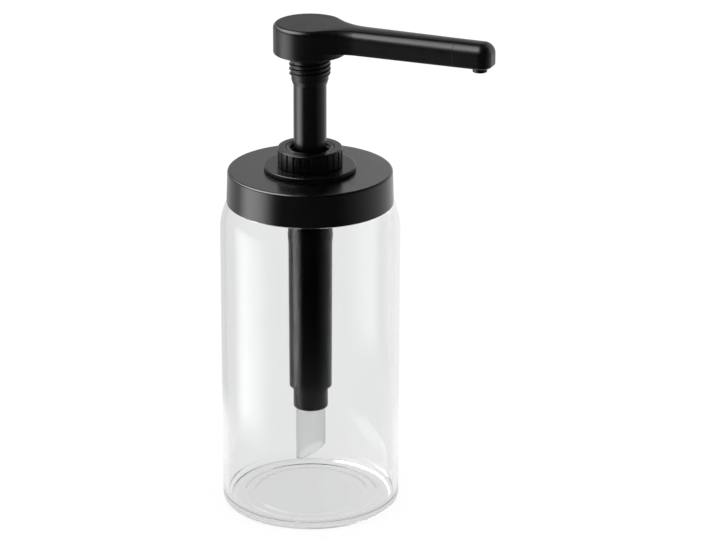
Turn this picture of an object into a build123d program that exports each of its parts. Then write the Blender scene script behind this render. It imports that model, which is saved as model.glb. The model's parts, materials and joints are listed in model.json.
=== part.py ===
from build123d import *
import math
import os

# Syrup pump dispenser: a glass jar with a screw lid, and a hand pump that hangs through the lid.
# Millimetres. The origin is the centre of the jar's base, +Z is up, and the spout points along +X.

# ---- glass jar ----
JAR_R = 50.0
JAR_WALL = 2.8
JAR_FLOOR = 3.4
JAR_FLOOR_CROWN = 0.6
JAR_BASE_ROUND = 6.2
JAR_FLOOR_ROUND = 4.2
SHOULDER_Z = 162.0
SHOULDER_ARC_R = 36.0
SHOULDER_ARC_TOP_Z = 177.2
SHOULDER_INNER_TOP_Z = 175.2
LEDGE_Z = 177.7
THROAT_T = 2.0
THROAT_ROUND = 2.0
NECK_R = 41.6
NECK_FILLET = 1.2
RIM_Z = 192.7
RIM_ROUND = 0.8

# ---- lid ----
LID_Z = 178.0
LID_TOP_Z = 196.5
LID_R_TOP = 45.65
LID_R_BOTTOM = 46.3
LID_EDGE_ROUND = 1.0
LID_PLATE = 2.2
LID_INNER_R = 43.65
LID_HOLE_R = 16.9
SEAL_RIB_R = 37.0
SEAL_RIB_T = 1.0
SEAL_RIB_H = 2.4
LID_GASKET_GAP = 0.45
LID_GASKET_LAP = 0.2

# ---- screw thread between jar and lid (single start) ----
JAR_PITCH = 4.0
JAR_CREST_R = 43.0
LID_CREST_R = 42.1
JAR_THREAD_Z = 182.0
JAR_THREAD_AZIMUTH = 40.0
JAR_THREAD_TURNS = 1.5
LID_THREAD_TURNS = 1.25
LID_RIDGE_BASE = 2.0
JAR_RIDGE_BASE = 2.2
RIDGE_CREST = 1.0

# ---- neck adapter: the flanged neck that the pump screws onto ----
ADAPTER_SEAL_T = 0.5
ADAPTER_SEAL_INSET = 1.0
SEAL_GAP = 0.3
FLANGE_R = 25.4
FLANGE_T = 2.1
FLANGE_ROUND = 0.7
ADAPTER_NECK_R = 15.2
ADAPTER_CREST_R = 16.2
ADAPTER_NECK_TOP_Z = 205.8
ADAPTER_BORE_R = 13.7
ADAPTER_CUP_GAP = 1.0
ADAPTER_TAIL_GAP = 0.5
ADAPTER_TAIL_R = 15.6
ADAPTER_TAIL_CREST_R = 16.4
ADAPTER_TAIL_Z = 186.6
TAIL_PITCH = 3.0
TAIL_RIDGE_BASE = 1.4
TAIL_RIDGE_CREST = 0.6
TAIL_RUNOUT = 1.0
NUT_R = 23.5
NUT_H = 5.2
NUT_LUGS = 8
NUT_LUG_R = 2.6
NUT_THREAD_GAP = 0.35
NUT_THREAD_TURNS = 1.0

# ---- ribbed collar nut ----
COLLAR_R = 17.9
COLLAR_Z = 199.5
COLLAR_TOP_Z = 209.6
COLLAR_LIP = 1.4
COLLAR_HOLE_R = 13.5
COLLAR_INNER_R = 16.5
COLLAR_CREST_R = 15.5
COLLAR_PITCH = 3.2
COLLAR_RIM_H = 1.0
COLLAR_RIM_STEP = 0.35
COLLAR_CHAMFER = 0.25
COLLAR_GROOVES = 24
COLLAR_GROOVE_R = 0.75
COLLAR_GROOVE_DEPTH = 0.6
COLLAR_GROOVE_AZIMUTH = 8.2
COLLAR_THREAD_Z = 200.3
COLLAR_THREAD_TURNS = 1.0
COLLAR_RIDGE_BASE = 1.4
COLLAR_RIDGE_CREST = 0.7
SLIP_RING_T = 0.6
RING_GAP = 0.1
BARREL_FLANGE_T = 1.3
BARREL_FLANGE_R = 15.1

# ---- barrel head: the housing that hangs in the adapter's neck ----
HEAD_TUBE_R = 12.4
HEAD_CUP_R = 13.3
HEAD_CUP_BOTTOM_Z = 195.0
HEAD_CUP_CONE = 0.8
HEAD_RING_R = 13.1
HEAD_RING_TOP_Z = 209.4
HEAD_TUBE_END_Z = 160.6
GROOVE_Z = 160.3
GROOVE_R = 12.2
SPIGOT_R = 10.58
SPIGOT_Z = 149.0
GUIDE_R = 9.45
LOCK_CUP_R = 12.1
LOCK_CUP_Z = 197.5
LOCK_BORE_R = 11.3
COLLAR_BORE_R = 10.3
COLLAR_BORE_Z = 192.4
COLLAR_BORE_CONE = 1.0
LOCK_BORE_CONE = 0.5
WIPER_Z = 165.0
WIPER_H = 3.4
WIPER_GROOVE_R = 11.2
WIPER_LIP_GAP = 0.06
WIPER_LIP_H = 0.6
WIPER_WAIST_GAP = 0.5

# ---- lock thread between barrel head and pump head (two starts) ----
LOCK_LEAD = 5.1
LOCK_STARTS = 2
LOCK_CREST_R = 11.05
LOCK_ROOT_R = 10.1
LOCK_NUT_CREST_R = 10.45
LOCK_NUT_ROOT_R = 11.4
LOCK_RING_TOP_Z = 209.0
LOCK_RIDGE_BASE = 1.3
LOCK_RIDGE_CREST = 0.5
LOCK_AZIMUTH = 90.0

# ---- pump cylinder, foot valve and dip tube ----
CYL_R = 11.95
CYL_TOP_R = 12.25
CYL_TOP_Z = 153.5
CYL_BAND_R = 12.6
CYL_BAND_Z = 157.0
CYL_BAND_TOP_Z = 158.2
CYL_LIP_R = 12.4
CYL_LIP_Z = 160.0
CYL_BORE_R = 10.6
CYL_BOTTOM_Z = 68.5
CYL_BOTTOM_ROUND = 0.6
CYL_FLOOR = 2.5
INLET_RING_R = 9.75
INLET_RING_Z = 67.3
INLET_SPIGOT_R = 8.25
INLET_SPIGOT_Z = 61.9
INLET_BORE_R = 6.6
CAP_R = 9.75
CAP_Z = 55.8
CAP_TOP_Z = 67.2
CAP_ROUND = 1.2
CAP_WEB_Z = 60.2
CAP_WEB_TOP_Z = 61.8
INLET_SEAT_R = 3.5
INLET_BALL_R = 4.4
BALL_GAP = 0.05
INLET_LIFT = 2.5
CAGE_T = 1.0
CAGE_BAR = 1.4
INLET_CAGE_RIM = 1.2
INLET_CROSS_GAP = 1.0
TUBE_R = 8.3
TUBE_BORE_R = 7.1
TUBE_CUT_MID_Z = 28.6
TUBE_CUT_SLOPE = 0.59
TUBE_CUT_AZIMUTH = 21.9

# ---- return spring ----
SPRING_R = 9.2
SPRING_WIRE_R = 0.75
SPRING_TURNS = 9
SPRING_END_GAP = 0.1

# ---- plunger ----
PISTON_Z = 137.0
PISTON_TOP_Z = 148.7
PISTON_R = 10.2
PISTON_GROOVE_R = 8.6
PISTON_GROOVE_Z = 139.0
PISTON_GROOVE_TOP_Z = 145.0
PISTON_SPIGOT_R = 6.45
PISTON_SPIGOT_TOP_Z = 158.0
PISTON_BALL_BORE_R = 4.6
PISTON_SEAT_Z = 141.0
SEAL_LIP_R = 10.53
SEAL_WAIST_R = 10.15
SEAL_LIP_H = 1.3
SEAL_TAPER_H = 1.95
OUTLET_SEAT_R = 2.7
OUTLET_BALL_R = 3.4
OUTLET_LIFT = 2.5
OUTLET_CAGE_H = 3.0
OUTLET_CAGE_RIM = 1.0
OUTLET_CROSS_GAP = 0.8
STEM_R = 9.1
STEM_BORE_R = 6.5
STEM_Z = 148.8
STEM_TOP_Z = 262.0

# ---- pump head and spout ----
KNOB_R = 20.0
KNOB_Z = 263.4
KNOB_TOP_Z = 280.1
KNOB_LOWER_H = 6.0
KNOB_BOTTOM_ROUND = 0.8
TOP_ROUND = 4.6
BOTTOM_ROUND = 1.0
BOSS_R = 10.2
BOSS_COLLAR_Z = 248.4
BOSS_COLLAR_TOP_Z = 251.4
BOSS_Z = 246.0
BOSS_END_R = 9.5
BOSS_ROOTING = 1.0
SOCKET_R = 9.12
SOCKET_TOP_Z = 262.2
ARM_Z = 267.0
ARM_HALF_ROOT = 9.5
ARM_HALF_TIP = 8.55
ARM_ROOT_X = 28.0
ARM_END_X = 105.7
ARM_BLEND_R = 27.0
ARM_END_ROUND = 6.3
SEAM_X = 85.3
SEAM_GAP = 0.1
CHANNEL_R = 4.2
RISER_R = 5.5
TIP_SPIGOT_R = 5.3
TIP_SPIGOT_LEN = 9.0
TIP_SPIGOT_GAP = 0.5
TIP_SPIGOT_ROOTING = 1.0
TIP_CHANNEL_R = 3.6
NOZZLE_X = 98.2
NOZZLE_R = 3.95
NOZZLE_BORE_R = 2.4
NOZZLE_Z = 263.8
NOZZLE_EDGE = 0.3
NOZZLE_ROOTING = 2.0

THREAD_ROOTING = 0.4
FIT_GAP = 0.05
EDGE_REACH = 0.01


def ring(outer_r, inner_r, z_low, z_high):
    """A plain round ring or sleeve between two heights."""
    height = z_high - z_low
    body = Cylinder(outer_r, height, align=(Align.CENTER, Align.CENTER, Align.MIN))
    if inner_r > 0:
        body -= Cylinder(inner_r, height, align=(Align.CENTER, Align.CENTER, Align.MIN))
    return Pos(0, 0, z_low) * body


def turned(*points):
    """A solid turned about Z from a closed outline of (radius, height) points."""
    outline = Polyline(*points, close=True)
    return revolve(Plane.XZ * make_face(outline), Axis.Z)


def turned_edges(*edges):
    """A solid turned about Z from a closed outline of lines and arcs drawn as (radius, height)."""
    return revolve(Plane.XZ * make_face(edges), Axis.Z)


def ridge(root_r, crest_r, lead, turns, z_start, base_width, crest_width, start_angle=0.0):
    """One helical thread ridge on a wall of radius root_r; its root is sunk into that wall."""
    outward = math.copysign(1.0, crest_r - root_r)
    path = Helix(lead, lead * turns, root_r)
    section = Plane(origin=path @ 0, x_dir=(1, 0, 0), z_dir=path % 0)
    half_base = base_width / 2
    half_crest = crest_width / 2
    sunk = -outward * THREAD_ROOTING
    height = crest_r - root_r
    profile = section * Polygon(
        (sunk, -half_base), (height, -half_crest), (height, half_crest), (sunk, half_base), align=None)
    swept = sweep(profile, path=path, is_frenet=True)
    return Pos(0, 0, z_start) * Rot(0, 0, start_angle) * swept


def rounded_ring(outer_r, inner_r, z_low, z_high, top_round):
    """A flat ring whose outer top edge is rounded."""
    body = ring(outer_r, inner_r, z_low, z_high)
    outer_top = body.edges().filter_by(GeomType.CIRCLE).filter_by_position(Axis.Z, z_high, z_high)
    outer_top = outer_top.sort_by(SortBy.RADIUS)[-1]
    return fillet(outer_top, top_round)


# ---- the jar and its lid ----
def glass_jar():
    """Straight-walled glass jar: rounded base, long shoulder arc, ledge and screw neck."""
    arc_x = JAR_R - SHOULDER_ARC_R
    rise = SHOULDER_ARC_TOP_Z - SHOULDER_Z
    turn = math.degrees(math.asin(rise / SHOULDER_ARC_R))
    top_x = arc_x + SHOULDER_ARC_R * math.cos(math.radians(turn))
    tight_r = (LEDGE_Z - SHOULDER_ARC_TOP_Z) / (1 - math.sin(math.radians(turn)))
    tight_x = top_x - tight_r * math.cos(math.radians(turn))
    tight_z = LEDGE_Z - tight_r
    inner_r = JAR_R - JAR_WALL
    neck_in = NECK_R - JAR_WALL
    fillet_z = LEDGE_Z + NECK_FILLET
    fillet_x = NECK_R + NECK_FILLET
    throat_x = neck_in + THROAT_ROUND
    throat_z = LEDGE_Z - THROAT_T
    inner_arc_r = SHOULDER_ARC_R - JAR_WALL
    inner_turn = math.degrees(math.asin((SHOULDER_INNER_TOP_Z - SHOULDER_Z) / inner_arc_r))
    inner_top_x = arc_x + inner_arc_r * math.cos(math.radians(inner_turn))
    floor_arc_x = inner_r - JAR_FLOOR_ROUND
    floor_arc_z = JAR_FLOOR + JAR_FLOOR_ROUND
    crown_z = JAR_FLOOR + JAR_FLOOR_CROWN
    edges = [
        Line((0, 0), (JAR_R - JAR_BASE_ROUND, 0)),
        CenterArc((JAR_R - JAR_BASE_ROUND, JAR_BASE_ROUND), JAR_BASE_ROUND, -90, 90),
        Line((JAR_R, JAR_BASE_ROUND), (JAR_R, SHOULDER_Z)),
        CenterArc((arc_x, SHOULDER_Z), SHOULDER_ARC_R, 0, turn),
        CenterArc((tight_x, tight_z), tight_r, turn, 90 - turn),
        Line((tight_x, LEDGE_Z), (fillet_x, LEDGE_Z)),
        CenterArc((fillet_x, fillet_z), NECK_FILLET, 180, 90),
        Line((NECK_R, fillet_z), (NECK_R, RIM_Z - RIM_ROUND)),
        CenterArc((NECK_R - RIM_ROUND, RIM_Z - RIM_ROUND), RIM_ROUND, 0, 90),
        Line((NECK_R - RIM_ROUND, RIM_Z), (neck_in + RIM_ROUND, RIM_Z)),
        CenterArc((neck_in + RIM_ROUND, RIM_Z - RIM_ROUND), RIM_ROUND, 90, 90),
        Line((neck_in, RIM_Z - RIM_ROUND), (neck_in, throat_z + THROAT_ROUND)),
        CenterArc((throat_x, throat_z + THROAT_ROUND), THROAT_ROUND, 180, 90),
        Line((throat_x, throat_z), (inner_top_x, SHOULDER_INNER_TOP_Z)),
        CenterArc((arc_x, SHOULDER_Z), inner_arc_r, 0, inner_turn),
        Line((inner_r, SHOULDER_Z), (inner_r, floor_arc_z)),
        CenterArc((floor_arc_x, floor_arc_z), JAR_FLOOR_ROUND, -90, 90),
        Line((floor_arc_x, JAR_FLOOR), (0, crown_z)),
        Line((0, crown_z), (0, 0)),
    ]
    body = turned_edges(*edges)
    thread = ridge(NECK_R, JAR_CREST_R, JAR_PITCH, JAR_THREAD_TURNS, JAR_THREAD_Z,
                   JAR_RIDGE_BASE, RIDGE_CREST, JAR_THREAD_AZIMUTH)
    return body + thread


def lid_gasket():
    """Flat soft ring between the jar's rim and the lid's plate."""
    return ring(LID_INNER_R - LID_GASKET_GAP, SEAL_RIB_R + LID_GASKET_LAP, RIM_Z, LID_TOP_Z - LID_PLATE)


def jar_lid():
    """Screw lid: drafted skirt, flat plate with a centre hole, sealing rib and inner thread."""
    plate_z = LID_TOP_Z - LID_PLATE
    edges = [
        Line((LID_R_BOTTOM, LID_Z), (LID_R_TOP, LID_TOP_Z - LID_EDGE_ROUND)),
        CenterArc((LID_R_TOP - LID_EDGE_ROUND, LID_TOP_Z - LID_EDGE_ROUND), LID_EDGE_ROUND, 0, 90),
        Line((LID_R_TOP - LID_EDGE_ROUND, LID_TOP_Z), (LID_HOLE_R, LID_TOP_Z)),
        Line((LID_HOLE_R, LID_TOP_Z), (LID_HOLE_R, plate_z)),
        Line((LID_HOLE_R, plate_z), (LID_INNER_R, plate_z)),
        Line((LID_INNER_R, plate_z), (LID_INNER_R, LID_Z)),
        Line((LID_INNER_R, LID_Z), (LID_R_BOTTOM, LID_Z)),
    ]
    body = turned_edges(*edges)
    body += ring(SEAL_RIB_R, SEAL_RIB_R - SEAL_RIB_T, plate_z - SEAL_RIB_H, plate_z)
    thread = ridge(LID_INNER_R, LID_CREST_R, JAR_PITCH, LID_THREAD_TURNS, JAR_THREAD_Z - JAR_PITCH / 2,
                   LID_RIDGE_BASE, RIDGE_CREST, JAR_THREAD_AZIMUTH)
    return body + thread


# ---- the neck adapter and what holds it in the lid ----
def adapter_gasket():
    """Thin soft ring under the adapter's flange."""
    return ring(FLANGE_R - ADAPTER_SEAL_INSET, LID_HOLE_R + SEAL_GAP, LID_TOP_Z, LID_TOP_Z + ADAPTER_SEAL_T)


def neck_adapter():
    """Flanged neck: screw neck above for the collar, screw tail below for the lock nut."""
    flange_z = LID_TOP_Z + ADAPTER_SEAL_T
    flange_top = flange_z + FLANGE_T
    body = rounded_ring(FLANGE_R, HEAD_TUBE_R, flange_z, flange_top, FLANGE_ROUND)
    body += ring(ADAPTER_NECK_R, HEAD_TUBE_R, flange_z, ADAPTER_NECK_TOP_Z)
    body += ring(ADAPTER_TAIL_R, HEAD_TUBE_R, ADAPTER_TAIL_Z, flange_z)
    body += ridge(ADAPTER_NECK_R, ADAPTER_CREST_R, COLLAR_PITCH, COLLAR_THREAD_TURNS,
                  COLLAR_THREAD_Z + COLLAR_PITCH / 2, COLLAR_RIDGE_BASE, COLLAR_RIDGE_CREST)
    tail_turns = (flange_z - TAIL_RUNOUT - ADAPTER_TAIL_Z - TAIL_RIDGE_BASE) / TAIL_PITCH
    body += ridge(ADAPTER_TAIL_R, ADAPTER_TAIL_CREST_R, TAIL_PITCH, tail_turns,
                  ADAPTER_TAIL_Z + TAIL_RIDGE_BASE, TAIL_RIDGE_BASE, TAIL_RIDGE_CREST)
    body -= ring(ADAPTER_BORE_R, 0, HEAD_CUP_BOTTOM_Z - ADAPTER_CUP_GAP, ADAPTER_NECK_TOP_Z)
    body -= ring(HEAD_TUBE_R + ADAPTER_TAIL_GAP, 0, ADAPTER_TAIL_Z, HEAD_CUP_BOTTOM_Z)
    return body


def adapter_lock_nut():
    """Ring nut with finger notches that clamps the adapter to the lid from below."""
    top = LID_TOP_Z - LID_PLATE
    bottom = top - NUT_H
    wall_r = ADAPTER_TAIL_CREST_R + NUT_THREAD_GAP
    body = ring(NUT_R, wall_r, bottom, top)
    for index in range(NUT_LUGS):
        notch = ring(NUT_LUG_R, 0, bottom, top)
        body -= Rot(0, 0, 360 * index / NUT_LUGS) * Pos(NUT_R, 0, 0) * notch
    tail_start = ADAPTER_TAIL_Z + TAIL_RIDGE_BASE
    body += ridge(wall_r, ADAPTER_TAIL_R + NUT_THREAD_GAP, TAIL_PITCH, NUT_THREAD_TURNS,
                  tail_start + TAIL_PITCH / 2, TAIL_RIDGE_BASE, TAIL_RIDGE_CREST)
    return body


# ---- the collar nut and its slip ring ----
def collar_slip_ring():
    """Thin slip ring that lets the collar turn on the barrel head's flange."""
    lip_z = COLLAR_TOP_Z - COLLAR_LIP
    return ring(ADAPTER_CREST_R - SEAL_GAP, COLLAR_HOLE_R + RING_GAP, lip_z - SLIP_RING_T, lip_z)


def collar_nut():
    """Ribbed collar nut: grip grooves, plain top rim, inner lip and thread."""
    lip_z = COLLAR_TOP_Z - COLLAR_LIP
    rim_z = COLLAR_TOP_Z - COLLAR_RIM_H
    rim_r = COLLAR_R - COLLAR_RIM_STEP
    body = turned(
        (COLLAR_R, COLLAR_Z), (COLLAR_R, rim_z), (rim_r, rim_z + COLLAR_RIM_STEP),
        (rim_r, COLLAR_TOP_Z - COLLAR_CHAMFER), (rim_r - COLLAR_CHAMFER, COLLAR_TOP_Z),
        (COLLAR_HOLE_R, COLLAR_TOP_Z), (COLLAR_HOLE_R, lip_z), (COLLAR_INNER_R, lip_z),
        (COLLAR_INNER_R, COLLAR_Z))
    groove_x = COLLAR_R + COLLAR_GROOVE_R - COLLAR_GROOVE_DEPTH
    for index in range(COLLAR_GROOVES):
        groove = Pos(groove_x, 0, 0) * ring(COLLAR_GROOVE_R, 0, COLLAR_Z, rim_z)
        body -= Rot(0, 0, COLLAR_GROOVE_AZIMUTH + 360 * index / COLLAR_GROOVES) * groove
    body += ridge(COLLAR_INNER_R, COLLAR_CREST_R, COLLAR_PITCH, COLLAR_THREAD_TURNS,
                  COLLAR_THREAD_Z, COLLAR_RIDGE_BASE, COLLAR_RIDGE_CREST)
    return body


# ---- the fixed parts of the pump ----
def barrel_gasket():
    """Soft ring between the adapter's neck and the barrel head's flange."""
    return ring(BARREL_FLANGE_R, HEAD_CUP_R + RING_GAP, ADAPTER_NECK_TOP_Z, barrel_flange_z())


def barrel_flange_z():
    """Underside of the barrel head's flange, worked down from the collar's lip."""
    return COLLAR_TOP_Z - COLLAR_LIP - SLIP_RING_T - BARREL_FLANGE_T


def barrel_head():
    """Pump housing: clamped flange, cup for the lock ring, guide tube and spigot."""
    flange_z = barrel_flange_z()
    flange_top = flange_z + BARREL_FLANGE_T
    body = turned(
        (HEAD_RING_R, HEAD_RING_TOP_Z), (HEAD_RING_R, flange_top), (BARREL_FLANGE_R, flange_top),
        (BARREL_FLANGE_R, flange_z), (HEAD_CUP_R, flange_z), (HEAD_CUP_R, HEAD_CUP_BOTTOM_Z),
        (HEAD_TUBE_R, HEAD_CUP_BOTTOM_Z - HEAD_CUP_CONE), (HEAD_TUBE_R, HEAD_TUBE_END_Z),
        (GROOVE_R, GROOVE_Z), (SPIGOT_R, GROOVE_Z), (SPIGOT_R, SPIGOT_Z), (GUIDE_R, SPIGOT_Z),
        (GUIDE_R, WIPER_Z), (WIPER_GROOVE_R, WIPER_Z), (WIPER_GROOVE_R, WIPER_Z + WIPER_H),
        (GUIDE_R, WIPER_Z + WIPER_H), (GUIDE_R, COLLAR_BORE_Z - COLLAR_BORE_CONE),
        (COLLAR_BORE_R, COLLAR_BORE_Z), (COLLAR_BORE_R, LOCK_CUP_Z - 2 * LOCK_BORE_CONE),
        (LOCK_BORE_R, LOCK_CUP_Z - LOCK_BORE_CONE), (LOCK_BORE_R, LOCK_CUP_Z),
        (LOCK_CUP_R, LOCK_CUP_Z), (LOCK_CUP_R, HEAD_RING_TOP_Z))
    return body


def lock_thread_ring():
    """Ring pressed into the barrel head; its two-start thread holds the pump head down."""
    body = ring(LOCK_CUP_R - FIT_GAP, LOCK_NUT_ROOT_R, LOCK_CUP_Z, LOCK_RING_TOP_Z)
    span = LOCK_RING_TOP_Z - LOCK_CUP_Z - 2 * LOCK_RIDGE_BASE
    for index in range(LOCK_STARTS):
        body += ridge(LOCK_NUT_ROOT_R, LOCK_NUT_CREST_R, LOCK_LEAD, span / LOCK_LEAD,
                      LOCK_CUP_Z + LOCK_RIDGE_BASE, LOCK_RIDGE_BASE, LOCK_RIDGE_CREST,
                      360 * index / LOCK_STARTS)
    return body


def stem_wiper():
    """Lip seal around the stem, in a groove of the barrel head."""
    low = WIPER_Z + FIT_GAP
    high = WIPER_Z + WIPER_H - FIT_GAP
    outer = WIPER_GROOVE_R - FIT_GAP
    lip = STEM_R + WIPER_LIP_GAP
    waist = STEM_R + WIPER_WAIST_GAP
    middle = (low + high) / 2
    return turned((outer, low), (outer, high), (lip, high), (lip, high - WIPER_LIP_H), (waist, middle),
                  (lip, low + WIPER_LIP_H), (lip, low))


def pump_cylinder():
    """Pump cylinder: top band, slightly tapered wall, straight bore, closed floor and inlet spigot."""
    floor_top = CYL_BOTTOM_Z + CYL_FLOOR
    edges = [
        Line((CYL_BORE_R, GROOVE_Z), (GROOVE_R, GROOVE_Z)),
        Line((GROOVE_R, GROOVE_Z), (CYL_LIP_R, CYL_LIP_Z)),
        Line((CYL_LIP_R, CYL_LIP_Z), (CYL_BAND_R, CYL_BAND_TOP_Z)),
        Line((CYL_BAND_R, CYL_BAND_TOP_Z), (CYL_BAND_R, CYL_BAND_Z)),
        Line((CYL_BAND_R, CYL_BAND_Z), (CYL_TOP_R, CYL_TOP_Z)),
        Line((CYL_TOP_R, CYL_TOP_Z), (CYL_R, CYL_BOTTOM_Z + CYL_BOTTOM_ROUND)),
        CenterArc((CYL_R - CYL_BOTTOM_ROUND, CYL_BOTTOM_Z + CYL_BOTTOM_ROUND), CYL_BOTTOM_ROUND, -90, 90),
        Line((CYL_R - CYL_BOTTOM_ROUND, CYL_BOTTOM_Z), (INLET_RING_R, CYL_BOTTOM_Z)),
        Line((INLET_RING_R, CYL_BOTTOM_Z), (INLET_RING_R, INLET_RING_Z)),
        Line((INLET_RING_R, INLET_RING_Z), (INLET_SPIGOT_R, INLET_RING_Z)),
        Line((INLET_SPIGOT_R, INLET_RING_Z), (INLET_SPIGOT_R, INLET_SPIGOT_Z)),
        Line((INLET_SPIGOT_R, INLET_SPIGOT_Z), (INLET_BORE_R, INLET_SPIGOT_Z)),
        Line((INLET_BORE_R, INLET_SPIGOT_Z), (INLET_BORE_R, floor_top)),
        Line((INLET_BORE_R, floor_top), (CYL_BORE_R, floor_top)),
        Line((CYL_BORE_R, floor_top), (CYL_BORE_R, GROOVE_Z)),
    ]
    return turned_edges(*edges)


def inlet_ball_z():
    """Centre height of the inlet ball on its seat."""
    return CAP_WEB_TOP_Z + math.sqrt(INLET_BALL_R ** 2 - INLET_SEAT_R ** 2)


def foot_valve_cap():
    """Cap below the cylinder: carries the inlet valve's seat and grips the dip tube."""
    body = ring(CAP_R, 0, CAP_Z, CAP_TOP_Z)
    bottom = body.edges().filter_by(GeomType.CIRCLE).sort_by(Axis.Z)[0]
    body = fillet(bottom, CAP_ROUND)
    body -= ring(INLET_SPIGOT_R + FIT_GAP, 0, CAP_WEB_TOP_Z, CAP_TOP_Z)
    body -= ring(TUBE_R + FIT_GAP / 2, 0, CAP_Z, CAP_WEB_Z)
    body -= ring(INLET_SEAT_R, 0, CAP_WEB_Z, CAP_WEB_TOP_Z)
    body -= Pos(0, 0, inlet_ball_z()) * Sphere(INLET_BALL_R + BALL_GAP)
    return body


def inlet_ball():
    """Check ball of the inlet valve, resting on its seat."""
    return Pos(0, 0, inlet_ball_z()) * Sphere(INLET_BALL_R)


def cage_cross(radius, z_low, thickness):
    """Two crossed bars inside a circle, which stop a valve ball."""
    bars = Pos(0, 0, z_low + thickness / 2) * Box(2 * radius, CAGE_BAR, thickness)
    bars += Rot(0, 0, 90) * bars
    return bars & ring(radius, 0, z_low, z_low + thickness)


def inlet_cage():
    """Flanged ring with a cross that limits the inlet ball's lift; the spring stands on it."""
    floor_top = CYL_BOTTOM_Z + CYL_FLOOR
    cross_z = inlet_ball_z() + INLET_BALL_R + INLET_LIFT + FIT_GAP
    flange_z = max(floor_top, cross_z - CAGE_T / 2)
    body = ring(SPRING_R + SPRING_WIRE_R, INLET_BORE_R - INLET_CAGE_RIM, flange_z, flange_z + CAGE_T)
    return body + cage_cross(INLET_BORE_R - INLET_CROSS_GAP, cross_z, flange_z + CAGE_T - cross_z)


def dip_tube():
    """Wide translucent dip tube, cut off on a slant near the jar's floor."""
    slant = math.degrees(math.atan(TUBE_CUT_SLOPE))
    body = ring(TUBE_R, TUBE_BORE_R, 0, CAP_WEB_Z - FIT_GAP)
    big = 16 * TUBE_R
    cutter = Box(big, big, big, align=(Align.CENTER, Align.CENTER, Align.MAX))
    place = Pos(0, 0, TUBE_CUT_MID_Z) * Rot(0, 0, TUBE_CUT_AZIMUTH) * Rot(0, -slant, 0)
    return body - place * cutter


def spring_foot_z():
    """Height of the top of the inlet cage, where the return spring stands."""
    return CYL_BOTTOM_Z + CYL_FLOOR + CAGE_T


def return_spring():
    """Steel compression spring between the inlet cage and the piston."""
    low = spring_foot_z() + SPRING_WIRE_R + SPRING_END_GAP
    high = PISTON_Z - SPRING_WIRE_R - SPRING_END_GAP
    path = Helix((high - low) / SPRING_TURNS, high - low, SPRING_R)
    section = Plane(origin=path @ 0, z_dir=path % 0) * Circle(SPRING_WIRE_R)
    return Pos(0, 0, low) * sweep(section, path=path, is_frenet=True)


# ---- the plunger ----
def outlet_ball_z():
    """Centre height of the outlet ball on its seat."""
    return PISTON_SEAT_Z + math.sqrt(OUTLET_BALL_R ** 2 - OUTLET_SEAT_R ** 2)


def piston():
    """Piston: seal groove below, spigot that carries the stem and holds the outlet valve."""
    body = turned(
        (OUTLET_SEAT_R, PISTON_Z), (PISTON_R, PISTON_Z), (PISTON_R, PISTON_GROOVE_Z),
        (PISTON_GROOVE_R, PISTON_GROOVE_Z), (PISTON_GROOVE_R, PISTON_GROOVE_TOP_Z),
        (PISTON_R, PISTON_GROOVE_TOP_Z), (PISTON_R, PISTON_TOP_Z), (PISTON_SPIGOT_R, PISTON_TOP_Z),
        (PISTON_SPIGOT_R, PISTON_SPIGOT_TOP_Z), (PISTON_BALL_BORE_R, PISTON_SPIGOT_TOP_Z),
        (PISTON_BALL_BORE_R, PISTON_SEAT_Z), (OUTLET_SEAT_R, PISTON_SEAT_Z))
    return body - Pos(0, 0, outlet_ball_z()) * Sphere(OUTLET_BALL_R + BALL_GAP)


def piston_seal():
    """Double-lip piston seal in the piston's groove."""
    low = PISTON_GROOVE_Z + FIT_GAP
    high = PISTON_GROOVE_TOP_Z - FIT_GAP
    inner = PISTON_GROOVE_R + FIT_GAP
    return turned((inner, low), (SEAL_LIP_R, low), (SEAL_LIP_R, low + SEAL_LIP_H),
                  (SEAL_WAIST_R, low + SEAL_TAPER_H), (SEAL_WAIST_R, high - SEAL_TAPER_H),
                  (SEAL_LIP_R, high - SEAL_LIP_H), (SEAL_LIP_R, high), (inner, high))


def outlet_ball():
    """Check ball of the outlet valve, resting in the piston."""
    return Pos(0, 0, outlet_ball_z()) * Sphere(OUTLET_BALL_R)


def outlet_cage():
    """Ring with a cross, pressed into the piston's spigot above the outlet ball."""
    low = outlet_ball_z() + OUTLET_BALL_R + OUTLET_LIFT + FIT_GAP
    outer, inner = PISTON_BALL_BORE_R - FIT_GAP / 2, PISTON_BALL_BORE_R - OUTLET_CAGE_RIM
    body = ring(outer, inner, low, low + OUTLET_CAGE_H)
    return body + cage_cross(PISTON_BALL_BORE_R - OUTLET_CROSS_GAP, low, CAGE_T)


def stem_tube():
    """Hollow stem from the piston up into the pump head."""
    return ring(STEM_R, STEM_BORE_R, STEM_Z, STEM_TOP_Z)


# ---- the pump head ----
def head_outline():
    """Seen from above: a round knob that flows into a tapered arm with a rounded end."""
    root_x = KNOB_R / 2
    slope = (ARM_HALF_ROOT - ARM_HALF_TIP) / (ARM_END_X - ARM_ROOT_X)
    root_half = ARM_HALF_ROOT + slope * (ARM_ROOT_X - root_x)
    arm = Polygon((root_x, -root_half), (ARM_END_X, -ARM_HALF_TIP),
                  (ARM_END_X, ARM_HALF_TIP), (root_x, root_half), align=None)
    end_corners = arm.vertices().sort_by(Axis.X)[-2:]
    arm = fillet(end_corners, ARM_END_ROUND)
    outline = Circle(KNOB_R) + arm
    inner_corners = [v for v in outline.vertices() if KNOB_R / 2 < v.X < KNOB_R]
    return fillet(inner_corners, ARM_BLEND_R)


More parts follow.
